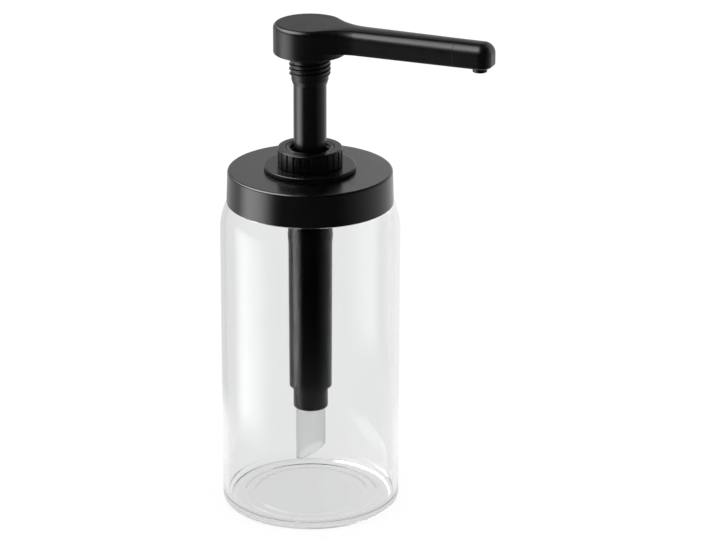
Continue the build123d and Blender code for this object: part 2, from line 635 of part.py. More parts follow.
def head_shell():
    """Outer form of knob and arm in one piece, before it is parted at the seam."""
    upper = Pos(0, 0, ARM_Z) * extrude(head_outline(), KNOB_TOP_Z - ARM_Z)
    top_edges = upper.edges().filter_by_position(Axis.Z, KNOB_TOP_Z - EDGE_REACH, KNOB_TOP_Z + EDGE_REACH)
    upper = fillet(top_edges, TOP_ROUND)
    bottom_edges = upper.edges().filter_by_position(Axis.Z, ARM_Z - EDGE_REACH, ARM_Z + EDGE_REACH)
    upper = fillet(bottom_edges, BOTTOM_ROUND)
    lower = ring(KNOB_R, 0, KNOB_Z, KNOB_Z + KNOB_LOWER_H)
    lower = fillet(lower.edges().filter_by(GeomType.CIRCLE).sort_by(Axis.Z)[0], KNOB_BOTTOM_ROUND)
    return upper + lower


def channel_z():
    """Height of the spout channel's centre line."""
    return (ARM_Z + KNOB_TOP_Z) / 2


def along_x(radius, x_low, x_high):
    """A round bar along the spout's channel, between two distances from the pump's axis."""
    bar = Cylinder(radius, x_high - x_low, align=(Align.CENTER, Align.CENTER, Align.MIN))
    return Pos(x_low, 0, channel_z()) * Rot(0, 90, 0) * bar


def half_space(x_from, sign):
    """A large block on one side of the seam, used to part the head and the tip."""
    size = 4 * ARM_END_X
    side = Align.MIN if sign > 0 else Align.MAX
    return Pos(x_from, 0, channel_z()) * Box(size, size, size, align=(side, Align.CENTER, Align.CENTER))


def pump_head():
    """Knob with the arm, the threaded boss below it, the stem socket and the syrup channel."""
    body = head_shell() - half_space(SEAM_X, 1)
    boss_top = KNOB_Z + BOSS_ROOTING
    boss = turned((0, boss_top), (LOCK_ROOT_R, boss_top), (LOCK_ROOT_R, BOSS_COLLAR_TOP_Z),
                  (BOSS_R, BOSS_COLLAR_TOP_Z), (BOSS_R, BOSS_COLLAR_Z), (BOSS_END_R, BOSS_Z), (0, BOSS_Z))
    low = BOSS_COLLAR_TOP_Z + LOCK_RIDGE_BASE
    turns = (KNOB_Z - low) / LOCK_LEAD
    for index in range(LOCK_STARTS):
        boss += ridge(LOCK_ROOT_R, LOCK_CREST_R, LOCK_LEAD, turns, low,
                      LOCK_RIDGE_BASE, LOCK_RIDGE_CREST, LOCK_AZIMUTH + 360 * index / LOCK_STARTS)
    body += boss
    body -= ring(SOCKET_R, 0, BOSS_Z, SOCKET_TOP_Z)
    body -= ring(RISER_R, 0, SOCKET_TOP_Z, channel_z() + CHANNEL_R)
    body -= along_x(CHANNEL_R, 0, SEAM_X)
    body -= along_x(TIP_SPIGOT_R + FIT_GAP, SEAM_X - TIP_SPIGOT_LEN - TIP_SPIGOT_GAP, SEAM_X)
    return body


def spout_tip():
    """Tip of the spout: spigot into the arm, channel and the downward nozzle."""
    seam = SEAM_X + SEAM_GAP
    body = head_shell() & half_space(seam, 1)
    body += along_x(TIP_SPIGOT_R, seam - TIP_SPIGOT_LEN, seam + TIP_SPIGOT_ROOTING)
    nozzle = ring(NOZZLE_R, 0, NOZZLE_Z, ARM_Z + NOZZLE_ROOTING)
    nozzle = chamfer(nozzle.edges().filter_by(GeomType.CIRCLE).sort_by(Axis.Z)[0], NOZZLE_EDGE)
    body += Pos(NOZZLE_X, 0, 0) * nozzle
    body -= along_x(TIP_CHANNEL_R, seam - TIP_SPIGOT_LEN, NOZZLE_X)
    body -= Pos(NOZZLE_X, 0, 0) * ring(NOZZLE_BORE_R, 0, NOZZLE_Z, channel_z())
    return body


PARTS = [
    glass_jar, lid_gasket, jar_lid, adapter_gasket, neck_adapter, adapter_lock_nut,
    collar_slip_ring, collar_nut, barrel_gasket, barrel_head, lock_thread_ring, stem_wiper,
    pump_cylinder, foot_valve_cap, inlet_ball, inlet_cage, dip_tube, return_spring,
    piston, piston_seal, outlet_ball, outlet_cage, stem_tube, pump_head, spout_tip,
]

os.makedirs("parts", exist_ok=True)
for make in PARTS:
    export_step(make(), os.path.join("parts", make.__name__ + ".step"))
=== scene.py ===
import json
import math

import bmesh
import bpy
import numpy as np
from mathutils import Matrix, Vector


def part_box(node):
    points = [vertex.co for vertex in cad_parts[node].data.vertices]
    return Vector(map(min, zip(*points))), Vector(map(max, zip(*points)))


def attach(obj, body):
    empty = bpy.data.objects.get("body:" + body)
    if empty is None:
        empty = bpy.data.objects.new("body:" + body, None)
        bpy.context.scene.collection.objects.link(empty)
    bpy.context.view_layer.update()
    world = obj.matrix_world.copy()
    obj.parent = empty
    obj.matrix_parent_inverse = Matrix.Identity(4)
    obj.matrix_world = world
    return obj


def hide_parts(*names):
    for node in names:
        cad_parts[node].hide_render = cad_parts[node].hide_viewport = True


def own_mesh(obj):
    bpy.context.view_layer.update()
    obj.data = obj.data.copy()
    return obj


bl_info = {
    "name": "Syrup pump dispenser",
    "version": (1, 0, 0),
    "blender": (4, 5, 0),
    "location": "View3D > Sidebar > Syrup pump",
    "description": "Dresses the jar, its screw lid and the hand pump with finished surfaces",
    "category": "Object",
}

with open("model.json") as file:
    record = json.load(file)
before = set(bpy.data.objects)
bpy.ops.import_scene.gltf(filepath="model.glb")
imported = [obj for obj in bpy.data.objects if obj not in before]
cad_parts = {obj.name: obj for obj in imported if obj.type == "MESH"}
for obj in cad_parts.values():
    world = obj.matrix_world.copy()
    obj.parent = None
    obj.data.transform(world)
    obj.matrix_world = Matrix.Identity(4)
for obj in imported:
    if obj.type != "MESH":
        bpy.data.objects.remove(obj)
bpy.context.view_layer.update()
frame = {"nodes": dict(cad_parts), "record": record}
NODES = frame["nodes"]

MM = 0.001
FULL_TURN = 2 * math.pi
# Points closer than the first are merged, and edges shorter than the second are dropped.
SAME_POINT = 0.0002 * MM
NO_LENGTH = 0.00001 * MM


# ---------------------------------------------------------------- sizes and colours

def length(name, description, millimetres):
    """A length property, stored in metres."""
    return bpy.props.FloatProperty(name=name, description=description, default=millimetres * MM,
                                   min=0.0, unit="LENGTH", subtype="DISTANCE", precision=5)


def colour(name, description, red, green, blue):
    """A colour property in linear values."""
    return bpy.props.FloatVectorProperty(name=name, description=description, default=(red, green, blue),
                                         size=3, min=0.0, max=1.0, subtype="COLOR")


def share(name, description, value):
    """A plain number from 0 to 1."""
    return bpy.props.FloatProperty(name=name, description=description, default=value,
                                   min=0.0, max=1.0, subtype="FACTOR")


class SyrupJarSizes(bpy.types.PropertyGroup):
    """Sizes of the glass jar and its lid."""
    radius: length("Radius", "Outer radius of the jar's straight wall", 50.0)
    wall: length("Wall", "Thickness of the glass", 2.8)
    floor: length("Floor", "Thickness of the glass floor at its edge", 3.4)
    crown: length("Crown", "Rise of the floor's middle", 0.6)
    base_round: length("Base rounding", "Rounding between wall and base", 6.2)
    floor_round: length("Floor rounding", "Rounding between wall and floor inside", 4.2)
    rim_height: length("Rim height", "Height of the glass rim", 192.7)
    neck: length("Neck radius", "Outer radius of the screw neck", 41.6)
    lid_top: length("Lid top", "Height of the lid's flat top", 196.5)
    lid_edge: length("Lid edge", "Rounding of the lid's upper edge", 1.3)


class SyrupPumpSizes(bpy.types.PropertyGroup):
    """Sizes of the pump's collar, barrel and tube."""
    collar: length("Collar radius", "Outer radius of the ribbed collar", 17.9)
    groove: length("Groove radius", "Radius of each grip groove", 0.75)
    groove_depth: length("Groove depth", "Depth of each grip groove", 0.6)
    grooves: bpy.props.IntProperty(name="Grooves", description="Number of grip grooves",
                                   default=24, min=8, max=48)
    barrel: length("Barrel radius", "Outer radius of the pump cylinder at its foot", 11.95)
    tube: length("Tube radius", "Outer radius of the dip tube", 8.3)
    tube_bore: length("Tube bore", "Inner radius of the dip tube", 7.1)
    stem: length("Stem radius", "Outer radius of the stem", 9.1)
    coil: length("Spring radius", "Radius of the return spring's wire centre", 9.2)
    wire: length("Wire radius", "Radius of the spring wire", 0.75)
    coils: bpy.props.IntProperty(name="Coils", description="Turns of the return spring",
                                 default=9, min=3, max=20)


class SyrupHeadSizes(bpy.types.PropertyGroup):
    """Sizes of the pump head and its spout."""
    knob: length("Knob radius", "Radius of the round knob", 20.0)
    top: length("Top", "Height of the flat top", 280.1)
    knob_base: length("Knob base", "Height of the knob's underside", 263.4)
    arm_base: length("Arm base", "Height of the spout's underside", 267.0)
    arm_root: length("Arm half width", "Half the spout's width where it leaves the knob", 9.5)
    arm_tip: length("Tip half width", "Half the spout's width at its end", 8.55)
    blend: length("Blend", "Radius of the sweep from knob to spout", 27.0)
    knob_edge: length("Knob edge", "Rounding of the knob's upper edge", 2.5)
    arm_edge: length("Arm edge", "Rounding of the spout's upper edge at its root", 4.9)
    tip_edge: length("Tip edge", "Rounding of the spout's upper edge at its end", 6.25)
    under_edge: length("Lower edge", "Rounding of the spout's lower edge", 1.3)
    crown: bpy.props.FloatProperty(name="Crown", description="Tilt of the spout's top at its rounded edges",
                                   default=math.radians(9.0), min=0.0, max=0.5, subtype="ANGLE")
    reach: length("Reach", "Distance from the pump's axis to the spout's end", 105.7)
    seam: length("Seam", "Distance from the pump's axis to the seam of the tip", 85.3)
    nozzle_at: length("Nozzle", "Distance from the pump's axis to the nozzle", 98.2)
    nozzle: length("Nozzle radius", "Outer radius of the nozzle", 3.95)


class SyrupFinishes(bpy.types.PropertyGroup):
    """Colours and surface qualities."""
    black: colour("Black plastic", "Colour of the moulded black parts", 0.001, 0.001, 0.0011)
    tube: colour("Tube", "Colour of the milky dip tube", 0.965, 0.97, 0.97)
    natural: colour("Natural plastic", "Colour of the uncoloured inner parts", 0.80, 0.80, 0.77)
    seal: colour("Seal", "Colour of the soft seals", 0.72, 0.72, 0.69)
    rubber: colour("Rubber", "Colour of the black rubber parts", 0.02, 0.02, 0.02)
    steel: colour("Steel", "Colour of spring wire and valve balls", 0.62, 0.61, 0.59)
    glass: colour("Glass", "Tint of the glass", 0.897, 0.90, 0.90)
    lid_roughness: share("Lid roughness", "Roughness of the smooth lid", 0.22)
    pump_roughness: share("Pump roughness", "Roughness of stem and barrel", 0.23)
    collar_roughness: share("Collar roughness", "Roughness of collar and flange", 0.27)
    head_roughness: share("Head roughness", "Roughness of the fine-textured pump head", 0.31)


class SyrupStudio(bpy.types.PropertyGroup):
    """Camera, floor and light."""
    lens: bpy.props.FloatProperty(name="Lens", description="Focal length on a 36 mm sensor", default=160.2)
    floor_radius: length("Floor radius", "Radius of the pale floor", 3000.0)
    white: bpy.props.FloatProperty(name="Backdrop", description="Brightness of the backdrop", default=1.0)
    side_light: bpy.props.FloatProperty(name="Side light", description="Brightness of the light at the left",
                                        default=4.4)
    top_light: bpy.props.FloatProperty(name="Top light", description="Brightness of the overhead light",
                                       default=9.0)


# ---------------------------------------------------------------- mesh building

def soften(corners, steps=7):
    """Outline with rounded corners. Each corner is (radius, height, rounding): the corner is cut back
    along both sides by rounding over the tangent of half its angle, at most by just under half the
    shorter side, and the cut is bridged by a circular arc. A point just outside each end of an arc
    keeps the flat beside it shaded flat."""
    points = []
    flat = [np.array(corner[:2], float) for corner in corners]
    for i, (here, corner) in enumerate(zip(flat, corners)):
        rounding = corner[2]
        if rounding <= 0:
            points.append(here)
            continue
        before = flat[i - 1] - here
        after = flat[(i + 1) % len(flat)] - here
        room = min(np.linalg.norm(before), np.linalg.norm(after))
        before /= np.linalg.norm(before)
        after /= np.linalg.norm(after)
        half = math.acos(np.clip(before @ after, -1, 1)) / 2
        cut = min(rounding / math.tan(half), 0.49 * room)
        radius = cut * math.tan(half)
        middle = here + (before + after) / np.linalg.norm(before + after) * radius / math.sin(half)
        start = here + before * cut - middle
        sweep = math.pi - 2 * half
        turn = math.copysign(1.0, before[1] * after[0] - before[0] * after[1])
        angle = np.linspace(0, turn * sweep, steps)
        arc = np.stack([start[0] * np.cos(angle) - start[1] * np.sin(angle),
                        start[0] * np.sin(angle) + start[1] * np.cos(angle)], axis=1) + middle
        spare = 0.3 * min(radius, max(room - cut, 0))
        points.append(here + before * (cut + spare))
        points.extend(arc)
        points.append(here + after * (cut + spare))
    return np.array(points)


def arc_points(u, v, radius, angles):
    """Points of a circular arc round (u, v): (u + r cos a, v + r sin a) for each angle a."""
    return np.stack([u + radius * np.cos(angles), v + radius * np.sin(angles)], axis=1)


def refine(outline, longest):
    """Outline with extra points on its long sides, so that none is longer than the given length."""
    ends = np.roll(outline, -1, axis=0)
    pieces = np.maximum(1, np.ceil(np.linalg.norm(ends - outline, axis=1) / longest)).astype(int)
    parts = [a + (b - a) * np.linspace(0, 1, n, endpoint=False)[:, None]
             for a, b, n in zip(outline, ends, pieces)]
    return np.concatenate(parts)


def without_repeats(outline):
    """Drops repeated neighbours from an outline."""
    keep = np.linalg.norm(outline - np.roll(outline, 1, axis=0), axis=1) > 1e-4
    return outline[keep]


def around(steps):
    """Angles of one full turn without the repeated last one."""
    return np.linspace(0, FULL_TURN, steps, endpoint=False)


def turned(r, a, h):
    """Grid of the points x = r cos a, y = r sin a, z = h."""
    return np.stack(np.broadcast_arrays(r * np.cos(a), r * np.sin(a), h), axis=2)


def lathe(outline, steps=160):
    """Grid of a turned surface: a row for each outline point (r, h), a column for each angle."""
    return turned(outline[:, :1], around(steps), outline[:, 1:])


def grid_faces(rows, columns, wrap_rows, wrap_columns, offset):
    """Quads between neighbouring points of a grid, joined round where it wraps."""
    i = np.arange(rows if wrap_rows else rows - 1)
    j = np.arange(columns if wrap_columns else columns - 1)
    i, j = np.meshgrid(i, j, indexing="ij")
    here = i * columns
    down = (i + 1) % rows * columns
    across = (j + 1) % columns
    quads = np.stack([here + j, here + across, down + across, down + j], axis=2)
    return quads.reshape(-1, 4) + offset


def make_piece(name, grids, sharp=32.0, close_holes=False):
    """One mesh object from grids in millimetres. Each grid is (points, wraps along rows, wraps along
    columns). Doubled points at poles and seams are merged, open ends are closed when asked, and the
    faces are turned outward."""
    points = []
    faces = []
    offset = 0
    for grid, wrap_rows, wrap_columns in grids:
        rows, columns = grid.shape[:2]
        points.append(grid.reshape(-1, 3))
        faces.append(grid_faces(rows, columns, wrap_rows, wrap_columns, offset))
        offset += rows * columns
    mesh = bpy.data.meshes.new(name)
    mesh.from_pydata((np.concatenate(points) * MM).tolist(), [], np.concatenate(faces).tolist())
    work = bmesh.new()
    work.from_mesh(mesh)
    bmesh.ops.remove_doubles(work, verts=work.verts, dist=SAME_POINT)
    bmesh.ops.dissolve_degenerate(work, edges=work.edges, dist=NO_LENGTH)
    if close_holes:
        rim = [edge for edge in work.edges if edge.is_boundary]
        bmesh.ops.holes_fill(work, edges=rim, sides=0)
    bmesh.ops.recalc_face_normals(work, faces=work.faces)
    work.to_mesh(mesh)
    work.free()
    mesh.shade_smooth()
    mesh.set_sharp_from_angle(angle=math.radians(sharp))
    piece = bpy.data.objects.new(name, mesh)
    bpy.context.scene.collection.objects.link(piece)
    return piece


def turned_piece(name, outline, steps=160, sharp=32.0):
    """One mesh object turned from a closed outline."""
    return make_piece(name, [(lathe(outline, steps), True, True)], sharp)


def place(piece, body, slot, *nodes, finish=None):
    """Gives a finished piece its material, chosen by its record slot, and its body, and hides the CAD nodes
    it stands for. The material is that of the slot unless a finish of its own is named."""
    piece.data.materials.clear()
    piece.data.materials.append(material_for(finish or slot))
    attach(piece, body)
    if nodes:
        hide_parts(*nodes)


def ramp_up(value, low, high):
    """Smooth step: 0 below low, 1 above high, with 3t^2 - 2t^3 between them."""
    t = np.clip((value - low) / (high - low), 0, 1)
    return t * t * (3 - 2 * t)


def screw_height(angle, height, first, lead, starts, base, flat, begin, end, turned_by=0.0):
    """Height from 0 to 1 of a screw ridge at each angle and height. The ridge's middle climbs by the
    lead each turn. Its section is base wide at the root and flat wide on top, with a smooth step
    between them, and it fades in and out along its helix at its two ends."""
    spacing = lead / starts
    climb = lead * (angle - turned_by) / FULL_TURN
    turns = np.round((height - first - climb) / spacing)
    middle = first + climb + turns * spacing
    rise = ramp_up(base / 2 - np.abs(height - middle), 0, base / 2 - flat / 2)
    run_out = 0.25 * lead
    fade = ramp_up(middle, begin, begin + run_out) * (1 - ramp_up(middle, end - run_out, end))
    return rise * fade


def screw_wall(root, crest, low, high, step, steps, **thread):
    """Rows of a turned wall from low to high whose radius goes from root towards crest on the ridge."""
    z = np.linspace(low, high, max(2, int((high - low) / step) + 1))
    angle, height = np.meshgrid(around(steps), z)
    return turned(root + (crest - root) * screw_height(angle, height, **thread), angle, height)


# ---------------------------------------------------------------- shader nodes

def give(tree, socket, value):
    """Gives an input its plain value, or joins it to the output that stands for the value."""
    if isinstance(value, bpy.types.NodeSocket):
        tree.links.new(value, socket)
    else:
        socket.default_value = value


def fill(tree, node, **values):
    """Fills a node in. A name with a capital is an input, with underscores for its spaces, and any
    other name is one of the node's own settings."""
    for name, value in values.items():
        if name[0].isupper():
            give(tree, node.inputs[name.replace("_", " ")], value)
        else:
            setattr(node, name, value)
    return node


def add(tree, kind, **values):
    """One new shader node, filled in."""
    return fill(tree, tree.nodes.new(kind), **values)


def value_of(tree, operation, *values):
    """One maths node on outputs or numbers; gives its output."""
    made = add(tree, "ShaderNodeMath", operation=operation)
    for socket, value in zip(made.inputs, values):
        give(tree, socket, value)
    return made.outputs[0]


def product(tree, first, *others):
    """Product of outputs or numbers, worked out from left to right."""
    for other in others:
        first = value_of(tree, "MULTIPLY", first, other)
    return first


def step_between(tree, value, low, high, start=0.0, end=1.0):
    """Smooth step of an output from start to end between low and high."""
    made = add(tree, "ShaderNodeMapRange", interpolation_type="SMOOTHSTEP", Value=value,
               From_Min=low, From_Max=high, To_Min=start, To_Max=end)
    return made.outputs["Result"]


def plateau(tree, value, rise, fall, top=1.0):
    """Smooth rise of an output over one range and smooth fall over another, top high in between."""
    return product(tree, step_between(tree, value, *rise), step_between(tree, value, *fall, top, 0.0))


def bounced(tree, path, kind, times):
    """1 for light that has bounced at least so many times in one way, otherwise 0."""
    return value_of(tree, "GREATER_THAN", path.outputs[kind + " Depth"], times - 0.5)


def mixed(tree, second_share, first, second):
    """Two shaders mixed by the share of the second one."""
    made = add(tree, "ShaderNodeMixShader", Fac=second_share)
    give(tree, made.inputs[1], first.outputs[0])
    give(tree, made.inputs[2], second.outputs[0])
    return made


def noise(tree, scale, detail=3.0, stretch=(1, 1, 1)):
    """Noise in object coordinates; stretch is how many times faster it changes along each axis."""
    where = add(tree, "ShaderNodeTexCoord")
    mapping = add(tree, "ShaderNodeMapping", Vector=where.outputs["Object"], Scale=stretch)
    made = add(tree, "ShaderNodeTexNoise", Vector=mapping.outputs["Vector"], Scale=scale, Detail=detail)
    return made.outputs["Fac"]


def spread(tree, value, low, high):
    """Maps a noise value from its usual range, 0.3 to 0.7, to low..high."""
    made = add(tree, "ShaderNodeMapRange", Value=value, From_Min=0.3, From_Max=0.7,
               To_Min=low, To_Max=high)
    return made.outputs["Result"]


def two_tone(tree, value, base, darker, lighter):
    """Colour that wanders with a noise value between a darker and a lighter tone of its base."""
    tones = [(*(min(1.0, part * factor) for part in base), 1) for factor in (darker, lighter)]
    made = add(tree, "ShaderNodeMix", data_type="RGBA", Factor=value, A=tones[0], B=tones[1])
    return made.outputs["Result"]


def relief(tree, shader, *layers):
    """Adds bumps to a shader. Each layer is (noise value, depth in millimetres), and later ones lie
    on earlier ones."""
    below = None
    for value, depth in layers:
        bump = add(tree, "ShaderNodeBump", Height=value, Distance=depth * MM, Strength=1.0)
        if below is not None:
            fill(tree, bump, Normal=below)
        below = bump.outputs["Normal"]
    fill(tree, shader, Normal=below)


# ---------------------------------------------------------------- materials

def empty_material(name):
    """Material without any nodes; returns material and tree."""
    material = bpy.data.materials.new(name)
    material.use_nodes = True
    material.node_tree.nodes.clear()
    return material, material.node_tree


def new_material(name):
    """Material with a Principled shader; returns material, tree and shader."""
    material, tree = empty_material(name)
    shader = add(tree, "ShaderNodeBsdfPrincipled")
    add(tree, "ShaderNodeOutputMaterial", Surface=shader.outputs["BSDF"])
    return material, tree, shader


def moulded_plastic(name, base, roughness, grain, grain_depth, specular=0.5, top_share=1.0):
    """Moulded plastic: fine spark-eroded grain, slow flow marks, slight change in tone and gloss.
    Faces that look straight up keep only top_share of the gloss."""
    material, tree, shader = new_material(name)
    wander = 0.02
    tone = two_tone(tree, noise(tree, 60.0), base, 0.8, 1.25)
    gloss = spread(tree, noise(tree, 140.0, detail=4.0), roughness - wander, roughness + wander)
    fill(tree, shader, Base_Color=tone, Roughness=gloss, Specular_IOR_Level=specular, IOR=1.5)
    if top_share < 1.0:
        slanting, level = 0.86, 0.97
        coordinates = add(tree, "ShaderNodeTexCoord")
        facing = add(tree, "ShaderNodeSeparateXYZ", Vector=coordinates.outputs["Normal"])
        shine = step_between(tree, facing.outputs["Z"], slanting, level, specular, specular * top_share)
        fill(tree, shader, Specular_IOR_Level=shine)
    flow_marks = noise(tree, 25.0, detail=1.0, stretch=(1, 1, 0.3))
    relief(tree, shader, (flow_marks, 0.004), (noise(tree, grain, detail=2.0), grain_depth))
    return material


def clear_glass(name, tint):
    """Clear pressed glass: sharp refraction, a breath of tint, very slow waves in the wall, and a
    little light lost on the way through, so that it darkens where it is seen edge on. Light that
    is still caught inside after two reflections goes straight on."""
    material, tree, shader = new_material(name)
    gloss = spread(tree, noise(tree, 90.0, detail=2.0), 0.0, 0.012)
    fill(tree, shader, Base_Color=(*tint, 1), Roughness=gloss, Transmission_Weight=1.0, IOR=1.5,
         Specular_Tint=(0.15, 0.15, 0.15, 1))
    relief(tree, shader, (noise(tree, 22.0, detail=1.0, stretch=(1, 1, 0.12)), 0.008))
    depth = add(tree, "ShaderNodeVolumeAbsorption", Color=(0.32, 0.35, 0.345, 1), Density=6.0)
    caught = bounced(tree, add(tree, "ShaderNodeLightPath"), "Glossy", 2)
    whole = mixed(tree, caught, shader, add(tree, "ShaderNodeBsdfTransparent"))
    fill(tree, tree.nodes["Material Output"], Surface=whole.outputs["Shader"],
         Volume=depth.outputs["Volume"])
    return material


def milky_tube(name, base):
    """Uncoloured tube plastic: light passes through it softly, and fine draw lines run along it."""
    material, tree, shader = new_material(name)
    tone = two_tone(tree, noise(tree, 40.0, stretch=(1, 1, 0.2)), base, 0.97, 1.0)
    gloss = spread(tree, noise(tree, 200.0), 0.34, 0.38)
    fill(tree, shader, Base_Color=tone, Roughness=gloss, Transmission_Weight=0.92, IOR=1.12)
    relief(tree, shader, (noise(tree, 500.0, detail=2.0, stretch=(1, 1, 0.05)), 0.004))
    return material


def soft_seal(name, base):
    """Dull soft seal material with a fine dry surface."""
    material, tree, shader = new_material(name)
    tone = two_tone(tree, noise(tree, 120.0), base, 0.88, 1.08)
    fill(tree, shader, Base_Color=tone, Roughness=spread(tree, noise(tree, 300.0), 0.6, 0.8))
    relief(tree, shader, (noise(tree, 1500.0, detail=2.0), 0.020))
    return material


def drawn_steel(name, base):
    """Bright steel with fine lines left by drawing and grinding."""
    material, tree, shader = new_material(name)
    tone = two_tone(tree, noise(tree, 300.0), base, 0.9, 1.06)
    gloss = spread(tree, noise(tree, 900.0, stretch=(1, 1, 6)), 0.18, 0.32)
    fill(tree, shader, Base_Color=tone, Roughness=gloss, Metallic=1.0)
    relief(tree, shader, (noise(tree, 2500.0, detail=2.0, stretch=(1, 1, 5)), 0.004))
    return material


def material_for(finish):
    """The material of one finish, made once. The finishes are the record's slots and two more for black
    parts that shine less: collar_black for the collar nut and the neck adapter, head_black for the
    pump head and the spout's tip. A grain is in changes per metre and its depth in millimetres."""
    name = "finish_" + finish
    made = bpy.data.materials.get(name)
    if made is not None:
        return made
    finishes = bpy.context.scene.syrup_finishes

    def black(roughness, **surface):
        """The moulded black plastic with one surface."""
        return moulded_plastic(name, finishes.black, roughness, **surface)

    makers = {
        "jar_glass": lambda: clear_glass(name, finishes.glass),
        "lid_black": lambda: black(finishes.lid_roughness, grain=2200.0, grain_depth=0.006,
                                   specular=0.46),
        "pump_black": lambda: black(finishes.pump_roughness, grain=2000.0, grain_depth=0.008,
                                    specular=0.39),
        "collar_black": lambda: black(finishes.collar_roughness, grain=2000.0, grain_depth=0.010,
                                      specular=0.24),
        "head_black": lambda: black(finishes.head_roughness, grain=1800.0, grain_depth=0.020,
                                    specular=0.3, top_share=0.35),
        "tube_white": lambda: milky_tube(name, finishes.tube),
        "natural_plastic": lambda: moulded_plastic(name, finishes.natural, roughness=0.42,
                                                   grain=1500.0, grain_depth=0.015),
        "soft_seal": lambda: soft_seal(name, finishes.seal),
        "black_rubber": lambda: soft_seal(name, finishes.rubber),
        "steel": lambda: drawn_steel(name, finishes.steel),
    }
    return makers[finish]()


# ---------------------------------------------------------------- jar and lid

def jar_outline(sizes):
    """Closed outline of the glass wall: underneath from the middle outwards, up the outside to the
    rim, then inside back down. The underside rises towards the middle in two shallow rounded steps.
    The shoulder is one long arc that ends in a tighter one at the ledge below the lid."""
    radius = sizes.radius / MM
    wall = sizes.wall / MM
    floor = sizes.floor / MM
    rim = sizes.rim_height / MM
    neck = sizes.neck / MM
    base_round = sizes.base_round / MM
    step, step_width, step_round = 0.5, 2.0, 1.2
    inner_ring, outer_ring = 31.0, 36.7
    foot = radius - base_round - 1.0
    shoulder_z, arc, arc_top, ledge = 162.0, 36.0, 177.9, 177.94
    underside = soften([(0, 2 * step, 0), (inner_ring, 2 * step, step_round),
                        (inner_ring + step_width, step, step_round), (outer_ring, step, step_round),
                        (outer_ring + step_width, 0, step_round), (foot, 0, 0)], 6)
    heel = soften([(foot, 0, 0), (radius, 0, base_round), (radius, shoulder_z, 0)], 24)
    outer = np.concatenate([underside[:-1], heel])
    turn = math.asin((arc_top - shoulder_z) / arc)
    centre = radius - arc
    shoulder = arc_points(centre, shoulder_z, arc, np.linspace(0, turn, 40))
    tight = (ledge - arc_top) / (1 - math.sin(turn))
    tight_x = centre + (arc - tight) * math.cos(turn)
    edge = arc_points(tight_x, ledge - tight, tight, np.linspace(turn, math.pi / 2, 12)[1:])
    inner_arc = arc - wall
    inner_turn = math.asin((ledge - 1.0 - shoulder_z) / inner_arc)
    inner_shoulder = arc_points(centre, shoulder_z, inner_arc, np.linspace(inner_turn, 0, 40))
    throat_x, throat_low = inner_shoulder[0]
    throat_z = ledge - 0.6
    neck_part = soften([(tight_x, ledge, 0), (neck, ledge, 1.2), (neck, rim, 0.8),
                        (neck - wall, rim, 0.8), (neck - wall, throat_z, 0.4),
                        (throat_x - 0.3, throat_z, 0.5), (throat_x, throat_low, 0)], 9)
    inner = soften([(radius - wall, shoulder_z, 0), (radius - wall, floor, sizes.floor_round / MM),
                    (0, floor + sizes.crown / MM, 0)], 24)
    return np.concatenate([outer[:-1], shoulder, edge, neck_part[1:-1], inner_shoulder, inner[1:]])


class SYRUP_OT_jar(bpy.types.Operator):
    """Turns the clear glass jar"""
    bl_idname = "syrup.jar"
    bl_label = "Glass jar"

    def execute(self, context):
        sizes = context.scene.syrup_jar
        neck = sizes.neck / MM
        outline = refine(without_repeats(jar_outline(sizes)), longest=3.0)
        jar = turned_piece("jar_surface", outline, steps=256, sharp=50.0)
        low, high, steps = 180.5, 190.5, 192
        thread = screw_wall(root=neck - 0.1, crest=43.0, low=low, high=high, step=0.2, steps=steps,
                            first=182.0, lead=4.0, starts=1, base=2.2, flat=1.0, begin=182.0,
                            end=188.0, turned_by=0.7)
        back = lathe(np.array([(neck - 0.6, high), (neck - 0.6, low)]), steps)
        ridge = make_piece("jar_thread", [(np.concatenate([thread, back]), True, True)])
        place(jar, "jar", "jar_glass", "glass_jar")
        place(ridge, "jar", "jar_glass")
        return {"FINISHED"}


class SYRUP_OT_lid(bpy.types.Operator):
    """Turns the smooth black screw lid"""
    bl_idname = "syrup.lid"
    bl_label = "Screw lid"

    def execute(self, context):
        sizes = context.scene.syrup_jar
        top = sizes.lid_top / MM
        plate = top - 2.2
        foot = 178.0
        hole, inside, outside, skirt = 16.9, 43.65, 45.65, 46.3
        skin = refine(soften([
            (inside, plate, 0.3), (hole, plate, 0.2), (hole, top, 0.2),
            (outside, top, sizes.lid_edge / MM), (skirt, foot, 0.25), (inside, foot, 0.2)]), longest=4.0)
        lid = turned_piece("lid_surface", skin, steps=256)
        place(lid, "lid_and_barrel", "lid_black", "jar_lid")
        return {"FINISHED"}


# ---------------------------------------------------------------- the pump

